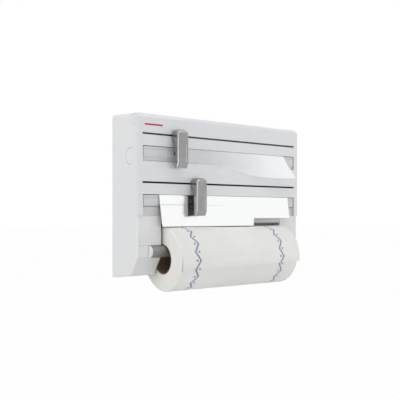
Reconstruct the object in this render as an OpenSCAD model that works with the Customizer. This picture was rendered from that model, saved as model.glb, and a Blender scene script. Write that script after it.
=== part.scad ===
// Wall-mounted holder for cling film, foil and kitchen paper.
// Millimetres. Origin at the middle of the wall face, X to the right, Y into the wall, Z up.

/* [Housing] */
// Room beside the film roll for each side panel and its button
end_space = 25; // [24:0.5:28]
// Overall height at the wall
body_h = 270; // [262:1:290]
// Depth of the lower housing from the wall
body_d = 80; // [78:1:95]
// Thickness of the back, side and top panels
wall_t = 3; // [2.5:0.1:3.5]
// Thickness of the moulded shells inside and below
shell_t = 2.5; // [2:0.1:3]
// Drop of the top from the wall to the cover
top_drop = 5.5; // [2:0.5:8]
// Rise of the bottom from the wall to the chamfer
bottom_rise = 7; // [3:0.5:10]
// Depth of the chamfer under the cheeks
chamfer_d = 21; // [12:1:24]
// Height of the chamfer under the cheeks
chamfer_h = 31; // [24:1:38]
// Gap between the paper roll and each cheek
paper_clear = 4; // [3:0.1:8]
// Gap between pieces that part or move
seam_gap = 0.3; // [0.3:0.05:0.5]
// Radial clearance of turning pins and stems
run_gap = 0.05; // [0.02:0.01:0.1]

/* [Wall holes] */
// Diameter of the wall screw holes
wall_hole_d = 5.5; // [4:0.5:7]
// Distance between the wall holes across
wall_hole_w = 280; // [240:5:290]
// Distance between the wall holes up
wall_hole_h = 81; // [78:1:84]
// Height of the middle of the wall holes above the middle of the wall face
wall_hole_z = 64.5; // [63:0.5:66]

/* [Cover] */
// How far the cover stands in front of the lower housing
cover_proud = 2; // [1:0.5:4]
// Thickness of the cover
cover_t = 2.5; // [2:0.1:3]
// Height of the cover
cover_h = 162.5; // [160:0.5:166]
// Radius of the cover's top edge
cover_round = 10; // [9:0.5:12]
// Radius of the cover's upper corners, seen from the front
cover_corner_r = 7; // [5:0.5:7.5]
// Depth of the cover's side returns
return_d = 5; // [3:0.5:6]
// Diameter of the hinge pins
hinge_pin_d = 5; // [4:0.5:6]
// Depth of the cover's top below the upper slot's middle
slot_drop = 32.8; // [31:0.2:35]
// Distance between the slots
slot_pitch = 76.7; // [75:0.1:79]
// Height of a slot
slot_h = 3; // [2.6:0.1:4]
// Distance from the cover's edge to a slot's end
slot_margin = 8.5; // [7.5:0.5:12]
// Distance from a slot's middle down to its window
window_drop = 18.9; // [16.5:0.1:20]
// Height of the upper window
window_h = 24.3; // [22:0.1:26]
// Distance from the cover's edge to a window's end
window_margin = 9; // [8:0.5:12]
// Height of the slit over a press bar
slit_h = 1; // [0.8:0.1:2]
// Height of a press bar
bar_h = 17.5; // [14:0.5:19]
// How far a press bar lies behind the cover's face
bar_set_back = 0.8; // [0.5:0.1:1.5]

/* [Cutters] */
// Width of a cutter
cutter_w = 20.6; // [16:0.2:22]
// How far a cutter stands in front of the cover
cutter_proud = 20.5; // [19:0.5:24]
// Height of a cutter above its slot
cutter_above = 9.3; // [9:0.1:10]
// Length of a cutter below its slot
cutter_below = 53; // [46:0.5:56]
// Gap between a cutter's head and the cover's face
cutter_gap = 0.6; // [0.4:0.1:1.5]
// Height of a cutter's head below its slot
head_below = 8; // [7:0.5:10]
// Gap between a cutter's leg and the cover's face
leg_gap = 9.5; // [8:0.5:11]
// Gap between a blade's holder and the cover's face
holder_gap = 2; // [1.6:0.1:3]
// Place of the upper cutter along its slot
upper_cutter_x = -102.1; // [-150:0.1:150]
// Place of the lower cutter along its slot
lower_cutter_x = -64.4; // [-150:0.1:150]
// Width of a carriage's neck
neck_w = 12; // [8:0.5:14]
// Width of a carriage's shoe
shoe_w = 15; // [14:0.5:17]
// Height of a carriage's shoe
shoe_h = 10; // [8:0.5:12]
// Depth of a carriage's shoe
shoe_d = 7; // [5:0.5:8]
// Thickness of a guide rail's wall
rail_t = 2; // [1.5:0.1:2.4]
// Width of a guide rail's flange past its channel
flange_w = 5.7; // [5.4:0.1:6]
// Thickness of a cutter blade
blade_t = 0.6; // [0.4:0.1:1]

/* [Paper roll] */
// Diameter of the paper roll
paper_d = 104; // [80:1:106]
// Length of the paper roll
paper_l = 254; // [220:1:256]
// Inner diameter of the paper roll's core
paper_bore = 45.8; // [36:0.2:50]
// Wall of every cardboard core
core_t = 1.5; // [1:0.1:2]
// Gap between the paper roll and the recess behind it
recess_clear = 5.5; // [5:0.5:12]
// Thickness of the loose paper tail
tail_t = 0.6; // [0.4:0.1:1]
// Diameter of the rod
rod_d = 19; // [16:0.5:22]
// Depth of the rod's seat in each cheek
rod_seat = 23; // [20:1:30]
// Wall of the rod
rod_t = 1.5; // [1:0.1:2]
// Depth of the rod's middle behind the cheek's front
rod_inset = 1; // [0:0.5:4]
// Drop of the rod's middle below the cover
rod_drop = 56.8; // [52:0.2:59]
// Clearance of the rod in its grooves
groove_gap = 0.3; // [0.3:0.05:0.6]

/* [Film and foil] */
// Diameter of the film roll
film_d = 46; // [38:1:50]
// Length of the film roll
film_l = 300; // [280:1:300]
// Diameter of the foil roll
foil_d = 38; // [34:1:42]
// Length of the foil roll
foil_l = 290; // [270:1:300]
// Inner diameter of the film roll's core
film_bore = 30; // [24:1:32]
// Inner diameter of the foil roll's core
foil_bore = 27; // [20:1:28]
// Distance of the roll axes from the wall
roll_set = 38; // [36:0.5:40]
// Drop of the film roll's axis below the upper slot
film_drop = 34.7; // [33:0.1:36]
// Height of the foil trough over the cover's lower edge
foil_lift = 3; // [1:0.5:4]
// How far the troughs reach past the film roll
trough_over = 7.5; // [4:0.5:8]
// Thickness of a hanging sheet
sheet_t = 0.4; // [0.3:0.1:0.6]
// Width of the film
film_w = 260; // [230:1:280]
// Width of the foil
foil_w = 285; // [250:1:290]
// Length of film in front of the cover
film_hang = 35; // [25:1:45]
// Length of foil in front of the cover at its short end
foil_hang = 37; // [30:1:40]
// Gap between the foil's long end and the paper roll
foil_clear = 1.2; // [0.8:0.1:10]
// Width of the foil's short end
foil_short_w = 90; // [40:1:120]

/* [Buttons] */
// Diameter of a button's hole
button_d = 27; // [22:0.5:29]
// Distance of a button behind the cover's face
button_back = 24; // [22:0.5:26]
// Drop of a button below the upper slot
button_drop = 34.7; // [32:0.1:36]
// Diameter of a button's stem
stem_d = 8; // [6:0.5:9]
// Travel of a button
button_travel = 3; // [2:0.5:4]
// Turns of a button's spring
spring_turns = 2.5; // [2:0.5:3]
// Wire of a button's spring
spring_wire = 1; // [0.6:0.1:1.2]

/* [Hidden] */
$fn = 64;

// The housing is as wide as the film roll or the paper's rod needs
cheek_in = paper_l / 2 + paper_clear;
rod_l = 2 * (cheek_in + rod_seat);
body_w = max(film_l + 2 * end_space, rod_l + 2 * (seam_gap + shell_t + wall_t));

// Faces and edges of the housing and the cover
side_in = body_w / 2 - wall_t;
front_y = -body_d;
cover_y = front_y - cover_proud;
cover_in = cover_y + cover_t;
hinge_y = cover_y + cover_round;
top_slope = top_drop / -hinge_y;
cover_top = body_h / 2 - top_drop;
hinge_z = cover_top - cover_round;
cover_bottom = cover_top - cover_h;
side_front = cover_y + return_d + seam_gap;
cheek_top = cover_bottom - seam_gap;
foot_y = front_y + chamfer_d;
foot_z = -body_h / 2 + bottom_rise;
chamfer_z = foot_z + chamfer_h;
over = 1;

// Slots, windows and press bars
upper_z = cover_top - slot_drop;
lower_z = upper_z - slot_pitch;
slot_half = body_w / 2 - slot_margin;
window_half = body_w / 2 - window_margin;
bar_lap = 3;
neck_travel = slot_half - neck_w / 2 - seam_gap;
channel_half = neck_travel + shoe_w / 2 + seam_gap;
channel_h = shoe_h + 2 * seam_gap;
channel_d = shoe_d + 2 * seam_gap;

// Paper roll and rod
rod_y = front_y + rod_inset;
rod_z = cover_bottom - rod_drop;
groove_r = rod_d / 2 + groove_gap;
groove_end = rod_l / 2 + seam_gap;
cap_t = 3;
paper_z = rod_z + rod_d / 2 + seam_gap - paper_bore / 2;
tail_gap = 0.3;
tail_r = paper_d / 2 + tail_gap;
tail_clear = 1;
tail_shift = paper_clear - tail_clear;

// Recess behind the paper roll, and the apron above it
recess_r = paper_d / 2 + recess_clear;
recess_top = paper_z + recess_r;
apron_y = cover_in + seam_gap;
apron_back = apron_y + shell_t;
apron_top = lower_z - window_drop - slit_h - bar_h - 2 * seam_gap;

// Film and foil
film_z = upper_z - film_drop;
foil_z = cover_bottom + foil_lift + shell_t + seam_gap + foil_d / 2;
film_x = 9;
foil_x = 6.5;
trough_l = film_l + 2 * trough_over;
sheet_gap = 0.2;
sheet_y = cover_y - sheet_gap;
sheet_tail = 10;

// Buttons
button_y = cover_y + button_back;
button_z = upper_z - button_drop;
button_cap = 5.5;
guide_clear = 3;
guide_d = end_space - wall_t - trough_over - guide_clear;
guide_wall = 2.5;
clip_t = 2;
clip_lip = 2;
clip_d = stem_d + 2 * clip_lip;
catch_t = 2.5;

// Screws
screw_d = 3;
head_d = 5;
head_h = 1.8;
rail_bite = 1.5;
panel_bite = 2;

white = [0.93, 0.93, 0.94];
grey = [0.62, 0.62, 0.63];
steel = [0.72, 0.73, 0.75];
dark = [0.3, 0.3, 0.28];
card = [0.62, 0.5, 0.38];
cream = [0.95, 0.94, 0.9];

// A profile drawn in Y and Z, extruded from x0 to x1
module span_x(x0, x1) {
    translate([x0, 0, 0])
        rotate([90, 0, 90])
            linear_extrude(x1 - x0)
                children();
}

// A shape and its mirror image across the middle
module both_sides() {
    children();
    mirror([1, 0, 0])
        children();
}

module box(x0, x1, y0, y1, z0, z1) {
    translate([x0, y0, z0])
        cube([x1 - x0, y1 - y0, z1 - z0]);
}

module ring(outer_r, inner_r) {
    difference() {
        circle(outer_r);
        circle(inner_r);
    }
}

function top_at(y) = body_h / 2 + top_slope * y;

function bottom_at(y) = -body_h / 2 + bottom_rise * y / foot_y;

// Housing

// Side outline from the wall to the front, with the notch for the cover's rounded corner
module side_outline() {
    difference() {
        polygon([
            [0, -body_h / 2],
            [0, body_h / 2],
            [hinge_y, cover_top],
            [side_front, hinge_z],
            [side_front, cheek_top],
            [front_y, cheek_top],
            [front_y, chamfer_z],
            [foot_y, foot_z]
        ]);
        translate([hinge_y, hinge_z])
            circle(cover_round + seam_gap);
    }
}

// Places of a hinge bracket's screws, behind the hinge
bracket_reach = 17;
bracket_pitch = 12;
bracket_drop = 18;
bracket_edge = 5;
bracket_y = [hinge_y + bracket_reach, hinge_y + bracket_reach + bracket_pitch];
bracket_z = hinge_z - bracket_drop;

module side_panel() {
    difference() {
        span_x(-body_w / 2, -side_in)
            side_outline();
        translate([-body_w / 2 - over, button_y, button_z])
            rotate([0, 90, 0])
                cylinder(h = wall_t + 2 * over, d = button_d);
        for (y = bracket_y)
            translate([-side_in - panel_bite, y, bracket_z])
                rotate([0, 90, 0])
                    cylinder(h = panel_bite + over, d = screw_d);
    }
}

module left_side_panel() {
    color(white)
        side_panel();
}

module right_side_panel() {
    color(white)
        mirror([1, 0, 0])
            side_panel();
}

// Heights of the screws in the troughs' back flanges
flange_h = 14;
film_flange_z = film_z - film_d / 4;
foil_flange_z = foil_z - foil_d / 4;
trough_screw_x = [-0.4 * trough_l, 0, 0.4 * trough_l];

module trough_screw_places() {
    for (z = [film_flange_z, foil_flange_z])
        for (x = trough_screw_x)
            translate([x, -wall_t, z + flange_h * 0.6])
                rotate([-90, 0, 0])
                    children();
}

module back_panel() {
    color(white)
        difference() {
            box(-side_in, side_in, -wall_t, 0, -body_h / 2, top_at(-wall_t) - wall_t);
            for (x = [-1, 1])
                for (z = [-1, 1])
                    translate([x * wall_hole_w / 2, over, wall_hole_z + z * wall_hole_h / 2])
                        rotate([90, 0, 0])
                            cylinder(h = wall_t + 2 * over, d = wall_hole_d);
            trough_screw_places()
                translate([0, 0, -over])
                    cylinder(h = panel_bite + over, d = screw_d);
        }
}

// The top panel stops short of the cover's rounded edge, which turns under it
top_gap = 4;

module top_panel() {
    top_front = hinge_y + top_gap;
    color(white)
        span_x(-side_in, side_in)
            difference() {
                polygon([
                    [0, top_at(0)],
                    [top_front, top_at(top_front)],
                    [top_front, top_at(top_front) - wall_t],
                    [0, top_at(0) - wall_t]
                ]);
                translate([hinge_y, hinge_z])
                    circle(cover_round + seam_gap);
            }
}

// A trough under a roll of diameter d at height z, with a flange on the back panel
module trough(d, z, flange_z) {
    seat_r = d / 2 + seam_gap;
    lip_z = z - d / 4;
    difference() {
        span_x(-trough_l / 2, trough_l / 2) {
            difference() {
                translate([-roll_set, z])
                    ring(seat_r + shell_t, seat_r);
                translate([-2 * roll_set, lip_z])
                    square([2 * roll_set, d]);
            }
            difference() {
                translate([-roll_set, lip_z - shell_t])
                    square([roll_set - wall_t, shell_t]);
                translate([-roll_set, z])
                    circle(seat_r);
            }
            translate([-wall_t - shell_t, flange_z - shell_t])
                square([shell_t, flange_h + shell_t]);
        }
        trough_screw_places()
            translate([0, 0, -shell_t - over])
                cylinder(h = shell_t + 2 * over, d = screw_d);
    }
}

module film_trough() {
    color(white)
        trough(film_d, film_z, film_flange_z);
}

module foil_trough() {
    color(white)
        trough(foil_d, foil_z, foil_flange_z);
}

module trough_screws() {
    color(steel)
        trough_screw_places() {
            translate([0, 0, -shell_t])
                cylinder(h = shell_t + panel_bite, d = screw_d);
            translate([0, 0, -shell_t - head_h])
                cylinder(h = head_h, d = head_d);
        }
}

// Wall round the back of the paper roll, with a foot on the back panel
module recess_wall() {
    back = rod_y + recess_r;
    foot_z0 = bottom_at(-wall_t) + wall_t;
    color(white)
        span_x(-cheek_in, cheek_in) {
            intersection() {
                translate([rod_y, paper_z])
                    ring(recess_r + shell_t, recess_r);
                translate([apron_back, paper_z])
                    square([body_d, body_h]);
            }
            translate([back, foot_z0])
                square([shell_t, paper_z - foot_z0]);
            translate([back, foot_z0])
                square([-wall_t - back, shell_t]);
        }
}

// Panel behind the lower window, standing on the cheeks and reaching down to the recess between them
module apron() {
    color(white) {
        box(-side_in, side_in, apron_y, apron_back, cheek_top, apron_top);
        box(-cheek_in, cheek_in, apron_y, apron_back, recess_top, cheek_top);
    }
}

// Fine line across a cheek, level with the top of the rod's groove
line_h = 0.8;

module cheek_outline() {
    polygon([
        [front_y, cheek_top],
        [front_y, chamfer_z],
        [foot_y, foot_z],
        [-wall_t, bottom_at(-wall_t)],
        [-wall_t, cheek_top]
    ]);
}

module cheek_hollow() {
    slope = sqrt(chamfer_d * chamfer_d + chamfer_h * chamfer_h);
    polygon([
        [front_y + shell_t, cheek_top - shell_t],
        [front_y + shell_t, chamfer_z + shell_t * (slope - chamfer_h) / chamfer_d],
        [front_y + (shell_t * slope + chamfer_d * (chamfer_h - shell_t)) / chamfer_h, foot_z + shell_t],
        [over, bottom_at(-wall_t) + shell_t],
        [over, cheek_top - shell_t]
    ]);
}

module cheek() {
    difference() {
        union() {
            difference() {
                span_x(cheek_in, side_in)
                    cheek_outline();
                span_x(cheek_in + shell_t, side_in + over)
                    cheek_hollow();
            }
            span_x(cheek_in, groove_end + shell_t)
                intersection() {
                    cheek_outline();
                    translate([rod_y, rod_z])
                        circle(groove_r + shell_t);
                }
        }
        span_x(cheek_in - over, groove_end) {
            translate([rod_y, rod_z])
                circle(groove_r);
            translate([front_y - over, rod_z - groove_r])
                square([rod_inset + over, 2 * groove_r]);
        }
        box(cheek_in - over, side_in + over, front_y - over, front_y + line_h,
            rod_z + groove_r, rod_z + groove_r + line_h);
    }
}

module right_cheek() {
    color(white)
        cheek();
}

module left_cheek() {
    color(white)
        mirror([1, 0, 0])
            cheek();
}

// Arms on the side panels that carry the cover's pins
arm_t = 6;
plate_t = 3;
arm_x = side_in - arm_t;
plate_x = side_in - plate_t;
arm_r = 6;

module hinge_bracket() {
    difference() {
        union() {
            span_x(arm_x, side_in - seam_gap)
                translate([hinge_y, hinge_z]) {
                    circle(arm_r);
                    rotate(-45)
                        translate([0, -arm_r * 0.8])
                            square([bracket_reach * sqrt(2), arm_r * 1.6]);
                }
            box(plate_x, side_in, bracket_y[0] - bracket_edge, bracket_y[1] + bracket_edge,
                bracket_z - arm_r, bracket_z + arm_r);
        }
        translate([arm_x - over, hinge_y, hinge_z])
            rotate([0, 90, 0])
                cylinder(h = side_in - arm_x + 2 * over, d = hinge_pin_d + 2 * run_gap);
        for (y = bracket_y)
            translate([arm_x - over, y, bracket_z])
                rotate([0, 90, 0])
                    cylinder(h = side_in - arm_x + 2 * over, d = screw_d);
        for (y = bracket_y)
            translate([arm_x - over, y, bracket_z])
                rotate([0, 90, 0])
                    cylinder(h = plate_x - arm_x + over, d = head_d + 2 * seam_gap);
    }
}

module hinge_brackets() {
    color(white)
        both_sides()
            hinge_bracket();
}

module bracket_screws() {
    color(steel)
        both_sides()
            for (y = bracket_y)
                translate([plate_x, y, bracket_z])
                    rotate([0, 90, 0]) {
                        cylinder(h = side_in - plate_x + panel_bite, d = screw_d);
                        translate([0, 0, -head_h])
                            cylinder(h = head_h, d = head_d);
                    }
}

// Cup behind a button, with a bore for its stem
module button_guide() {
    tube_r = button_d / 2 + seam_gap;
    translate([-side_in, button_y, button_z])
        rotate([0, 90, 0])
            difference() {
                cylinder(h = guide_d, r = tube_r + guide_wall);
                translate([0, 0, -over])
                    cylinder(h = guide_d - guide_wall + over, r = tube_r);
                cylinder(h = guide_d + over, d = stem_d + 2 * run_gap);
            }
}

module left_button_guide() {
    color(white)
        button_guide();
}

module right_button_guide() {
    color(white)
        mirror([1, 0, 0])
            button_guide();
}

// Cover

module slot_cut(z) {
    box(-slot_half, slot_half, cover_y - over, cover_in + over, z - slot_h / 2, z + slot_h / 2);
}

module rail_screw_places() {
    for (rail_z = [upper_z, lower_z])
        for (side = [-1, 1])
            for (x = [-0.85, -0.3, 0.3, 0.85])
                translate([x * slot_half, cover_in, rail_z + side * (channel_h / 2 + rail_t + flange_w / 2)])
                    rotate([-90, 0, 0])
                        children();
}

// Front outline of the cover's top edge, round at its upper corners
module edge_outline() {
    half = body_w / 2;
    low = hinge_z - cover_round;
    corner_z = cover_top - cover_corner_r;
    for (side = [-1, 1])
        translate([side * (half - cover_corner_r), corner_z])
            circle(cover_corner_r);
    translate([cover_corner_r - half, corner_z])
        square([body_w - 2 * cover_corner_r, cover_corner_r]);
    translate([-half, low])
        square([body_w, corner_z - low]);
}

// Quarter round of the cover's top edge, and its round ends
module cover_edge() {
    intersection() {
        union() {
            span_x(-body_w / 2, body_w / 2)
                intersection() {
                    translate([hinge_y, hinge_z])
                        ring(cover_round, cover_round - cover_t);
                    translate([cover_y, hinge_z])
                        square([cover_round, cover_round]);
                }
            both_sides()
                span_x(side_in, body_w / 2)
                    translate([hinge_y, hinge_z])
                        circle(cover_round);
        }
        translate([0, hinge_y + cover_round + over, 0])
            rotate([90, 0, 0])
                linear_extrude(2 * (cover_round + over))
                    edge_outline();
    }
}

module front_cover() {
    upper_top = upper_z - window_drop;
    lower_top = lower_z - window_drop;
    color(white)
        difference() {
            union() {
                box(-body_w / 2, body_w / 2, cover_y, cover_in, cover_bottom, hinge_z);
                cover_edge();
                both_sides()
                    box(body_w / 2 - cover_t, body_w / 2, cover_y, cover_y + return_d,
                        cover_bottom, hinge_z);
            }
            slot_cut(upper_z);
            slot_cut(lower_z);
            box(-window_half, window_half, cover_y - over, cover_in + over, upper_top - window_h, upper_top);
            box(-window_half, window_half, cover_y - over, cover_in + over, cover_bottom - over, lower_top);
            rail_screw_places()
                translate([0, 0, -rail_bite])
                    cylinder(h = rail_bite + over, d = screw_d);
            both_sides()
                translate([side_in - over, hinge_y, hinge_z])
                    rotate([0, 90, 0])
                        cylinder(h = wall_t, d = hinge_pin_d);
        }
}

module hinge_pins() {
    color(steel)
        both_sides()
            translate([arm_x, hinge_y, hinge_z])
                rotate([0, 90, 0])
                    cylinder(h = side_in - arm_x + wall_t - over, d = hinge_pin_d);
}

// Channel behind a slot, flanged to the cover's inner face
module guide_rail(z) {
    half_h = channel_h / 2;
    outer_h = half_h + rail_t;
    end_x = channel_half + rail_t;
    flange_z = outer_h + flange_w;
    difference() {
        union() {
            box(-end_x, end_x, cover_in, cover_in + channel_d + rail_t, z - outer_h, z + outer_h);
            box(-slot_half, slot_half, cover_in, cover_in + rail_t, z - flange_z, z + flange_z);
        }
        box(-channel_half, channel_half, cover_in - over, cover_in + channel_d, z - half_h, z + half_h);
        rail_screw_places()
            translate([0, 0, -over])
                cylinder(h = rail_t + 2 * over, d = screw_d);
    }
}

module upper_guide_rail() {
    color(dark)
        guide_rail(upper_z);
}

module lower_guide_rail() {
    color(dark)
        guide_rail(lower_z);
}

module rail_screws() {
    color(steel)
        rail_screw_places() {
            translate([0, 0, -rail_bite])
                cylinder(h = rail_bite + rail_t, d = screw_d);
            translate([0, 0, rail_t])
                cylinder(h = head_h, d = head_d);
        }
}

// Pale bar in a window, held behind the cover by a backing strip of height backing_h
bar_lip = 3.6;
bar_groove = 0.8;
bar_bevel_h = 3;
bar_bevel_d = 1.2;

module press_bar(window_top, backing_h) {
    bar_top = window_top - slit_h;
    bar_x = window_half - seam_gap;
    lap_x = window_half + bar_lap;
    front = cover_y + bar_set_back;
    lip_z = bar_top - bar_lip;
    span_x(-bar_x, bar_x)
        polygon([
            [cover_in, bar_top],
            [front, bar_top],
            [front, lip_z],
            [front + bar_groove, lip_z],
            [front + bar_groove, lip_z - bar_groove],
            [front, lip_z - bar_groove],
            [front, bar_top - bar_h + bar_bevel_h],
            [front + bar_bevel_d, bar_top - bar_h],
            [cover_in, bar_top - bar_h]
        ]);
    box(-lap_x, lap_x, cover_in, cover_in + shell_t, bar_top - backing_h, bar_top);
}

module upper_press_bar() {
    color(white)
        press_bar(upper_z - window_drop, window_h - slit_h + bar_lap);
}

module lower_press_bar() {
    color(white)
        press_bar(lower_z - window_drop, bar_h);
}

// Hooks inside the cover, beside the pressed buttons' stems
catch_x = side_in - guide_d - seam_gap - clip_t - button_travel - seam_gap;
catch_d = 16;
catch_h = 10;

module cover_catches() {
    color(white)
        both_sides() {
            box(catch_x - catch_t, catch_x, cover_in + shell_t, cover_in + catch_d,
                button_z - catch_h / 2, button_z + catch_h / 2);
            box(catch_x - 2 * catch_t, catch_x, cover_in + catch_d - catch_t, cover_in + catch_d,
                button_z - catch_h / 2, button_z + catch_h / 2);
        }
}

// A sheet that comes through the slit over a press bar and hangs in front of it down to bottom_z
module hanging_sheet(x0, x1, fold_z, bottom_z) {
    box(x0, x1, sheet_y - sheet_t, cover_in + sheet_tail, fold_z, fold_z + sheet_t);
    box(x0, x1, sheet_y - sheet_t, sheet_y, bottom_z, fold_z);
}

module film_sheet() {
    fold_z = upper_z - window_drop - (slit_h + sheet_t) / 2;
    color("white", 0.4)
        hanging_sheet(film_x - film_w / 2, film_x + film_w / 2, fold_z, fold_z - film_hang);
}

module foil_sheet() {
    left_x = foil_x - foil_w / 2;
    right_x = foil_x + foil_w / 2;
    fold_z = lower_z - window_drop - (slit_h + sheet_t) / 2;
    paper_top = paper_z + tail_r + tail_t;
    color("silver") {
        hanging_sheet(left_x, right_x, fold_z, fold_z - foil_hang);
        hanging_sheet(left_x, right_x - foil_short_w, fold_z, paper_top + foil_clear);
    }
}

// Cutters

grip_top_r = 9;
grip_crown_r = 7;
grip_corner_r = 4;
grip_toe_h = 8;
grip_toe_d = 4;
grip_fillet_r = 6;

// Side of a grip: a head at the slot and a leg that hangs in front of the sheet, with a sloping toe
module grip_side(z) {
    head_back = cover_y - cutter_gap;
    leg_back = cover_y - leg_gap;
    front = cover_y - cutter_proud;
    top = z + cutter_above;
    bottom = z - cutter_below;
    head_z = z - head_below;
    intersection() {
        translate([front + grip_top_r, top - grip_top_r])
            circle(grip_top_r);
        translate([front, top - grip_top_r])
            square(grip_top_r);
    }
    polygon([
        [head_back, top],
        [front + grip_top_r, top],
        [front + grip_top_r, top - grip_top_r],
        [front, top - grip_top_r],
        [front, bottom + grip_toe_h],
        [front + grip_toe_d, bottom],
        [leg_back, bottom],
        [leg_back, head_z],
        [head_back, head_z]
    ]);
    difference() {
        translate([leg_back, head_z - grip_fillet_r])
            square(grip_fillet_r);
        translate([leg_back + grip_fillet_r, head_z - grip_fillet_r])
            circle(grip_fillet_r);
    }
}

// Plan of a grip: square at the back, round at the front corners
module grip_plan(x) {
    front = cover_y - cutter_proud;
    half = cutter_w / 2;
    for (side = [-1, 1])
        translate([x + side * (half - grip_corner_r), front + grip_corner_r])
            circle(grip_corner_r);
    translate([x - half + grip_corner_r, front])
        square([cutter_w - 2 * grip_corner_r, cutter_proud]);
    translate([x - half, front + grip_corner_r])
        square([cutter_w, cutter_proud - grip_corner_r]);
}

// Front of a grip: round at the top corners
module grip_front(x, z) {
    half = cutter_w / 2;
    crown_z = z + cutter_above - grip_crown_r;
    for (side = [-1, 1])
        translate([x + side * (half - grip_crown_r), crown_z])
            circle(grip_crown_r);
    translate([x - half + grip_crown_r, crown_z])
        square([cutter_w - 2 * grip_crown_r, grip_crown_r]);
    translate([x - half, z - cutter_below])
        square([cutter_w, crown_z - z + cutter_below]);
}

// Blade lying flat in the holder on a leg, its edge towards the sheet
blade_w = 11;
blade_tip = 1;
blade_drop = 10;
blade_bite = 4;
holder_rim = 0.9;
holder_h = 5;

module cutter_blade(x, z) {
    depth = leg_gap - holder_gap + blade_bite;
    translate([x, cover_y - holder_gap, z - window_drop - blade_drop])
        linear_extrude(blade_t)
            polygon([
                [-blade_w / 2, 0],
                [-blade_w / 4, blade_tip],
                [blade_w / 4, blade_tip],
                [blade_w / 2, 0],
                [blade_w / 2, -depth],
                [-blade_w / 2, -depth]
            ]);
}

module blade_holder(x, z) {
    half = blade_w / 2 + holder_rim;
    middle = z - window_drop - blade_drop + blade_t / 2;
    box(x - half, x + half, cover_y - leg_gap - over, cover_y - holder_gap,
        middle - holder_h / 2, middle + holder_h / 2);
}

module grip_body(x, z) {
    intersection() {
        span_x(x - cutter_w, x + cutter_w)
            grip_side(z);
        translate([0, 0, z - cutter_below - over])
            linear_extrude(cutter_above + cutter_below + 2 * over)
                grip_plan(x);
        translate([0, cover_y, 0])
            rotate([90, 0, 0])
                linear_extrude(cutter_proud + over)
                    grip_front(x, z);
    }
}

module cutter_grip(x, z) {
    difference() {
        union() {
            grip_body(x, z);
            blade_holder(x, z);
        }
        cutter_blade(x, z);
    }
}

// Neck through the slot and shoe in the guide rail
module cutter_carriage(x, z) {
    neck_h = slot_h - 2 * seam_gap;
    shoe_y = cover_in + seam_gap;
    box(x - neck_w / 2, x + neck_w / 2, cover_y - cutter_gap, shoe_y, z - neck_h / 2, z + neck_h / 2);
    box(x - shoe_w / 2, x + shoe_w / 2, shoe_y, shoe_y + shoe_d, z - shoe_h / 2, z + shoe_h / 2);
}

module upper_cutter_grip() {
    color(grey)
        cutter_grip(upper_cutter_x, upper_z);
}

module upper_cutter_carriage() {
    color(dark)
        cutter_carriage(upper_cutter_x, upper_z);
}

module upper_cutter_blade() {
    color(steel)
        cutter_blade(upper_cutter_x, upper_z);
}

module lower_cutter_grip() {
    color(grey)
        cutter_grip(lower_cutter_x, lower_z);
}

module lower_cutter_carriage() {
    color(dark)
        cutter_carriage(lower_cutter_x, lower_z);
}

module lower_cutter_blade() {
    color(steel)
        cutter_blade(lower_cutter_x, lower_z);
}

// Rolls

module tube_x(x0, x1, y, z, outer_r, inner_r) {
    span_x(x0, x1)
        translate([y, z])
            ring(outer_r, inner_r);
}

module paper_rod() {
    color(grey)
        tube_x(-rod_l / 2 + cap_t, rod_l / 2 - cap_t, rod_y, rod_z, rod_d / 2, rod_d / 2 - rod_t);
}

module rod_caps() {
    plug = 12;
    color(grey)
        both_sides()
            translate([rod_l / 2 - cap_t, rod_y, rod_z])
                rotate([0, 90, 0]) {
                    cylinder(h = cap_t, d = rod_d);
                    translate([0, 0, -plug])
                        cylinder(h = plug, d = rod_d - 2 * rod_t);
                }
}

module paper_core() {
    color(card)
        tube_x(-paper_l / 2, paper_l / 2, rod_y, paper_z, paper_bore / 2 + core_t, paper_bore / 2);
}

module paper_roll() {
    color(cream)
        tube_x(-paper_l / 2, paper_l / 2, rod_y, paper_z, paper_d / 2, paper_bore / 2 + core_t);
}

// Last turn of the paper, over the top and down the front to its free edge
tail_start = 95;
tail_end = 195;

module paper_tail() {
    reach = paper_d;
    color(cream)
        span_x(tail_shift - paper_l / 2, tail_shift + paper_l / 2)
            translate([rod_y, paper_z])
                intersection() {
                    ring(tail_r + tail_t, tail_r);
                    polygon([
                        [0, 0],
                        [reach * cos(tail_start), reach * sin(tail_start)],
                        [-reach, reach],
                        [reach * cos(tail_end), reach * sin(tail_end)]
                    ]);
                }
}

module film_core() {
    color(card)
        tube_x(-film_l / 2, film_l / 2, -roll_set, film_z, film_bore / 2 + core_t, film_bore / 2);
}

module film_roll() {
    color("lightcyan")
        tube_x(-film_l / 2, film_l / 2, -roll_set, film_z, film_d / 2, film_bore / 2 + core_t);
}

module foil_core() {
    color(card)
        tube_x(-foil_l / 2, foil_l / 2, -roll_set, foil_z, foil_bore / 2 + core_t, foil_bore / 2);
}

module foil_roll() {
    color("silver")
        tube_x(-foil_l / 2, foil_l / 2, -roll_set, foil_z, foil_d / 2, foil_bore / 2 + core_t);
}

// Buttons

module button() {
    stem_l = wall_t + guide_d - button_cap + seam_gap;
    translate([-body_w / 2, button_y, button_z])
        rotate([0, 90, 0]) {
            cylinder(h = button_cap, d = button_d - 2 * seam_gap);
            translate([0, 0, button_cap])
                cylinder(h = stem_l + clip_t, d = stem_d);
            translate([0, 0, button_cap + stem_l])
                cylinder(h = clip_t, d = clip_d);
        }
}

module left_button() {
    color(white)
        button();
}

module right_button() {
    color(white)
        mirror([1, 0, 0])
            button();
}

// Helical spring between a button and its guide's floor
spring_clear = 2;
spring_r = stem_d / 2 + spring_clear;
spring_rings = 12;
spring_sides = 6;
spring_l = wall_t + guide_d - guide_wall - button_cap - 2 * seam_gap - spring_wire;

function spring_point(i) =
    let (a = 360 * i / spring_rings)
    [spring_r * cos(a), spring_r * sin(a), spring_l * i / (spring_rings * spring_turns)];

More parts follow.
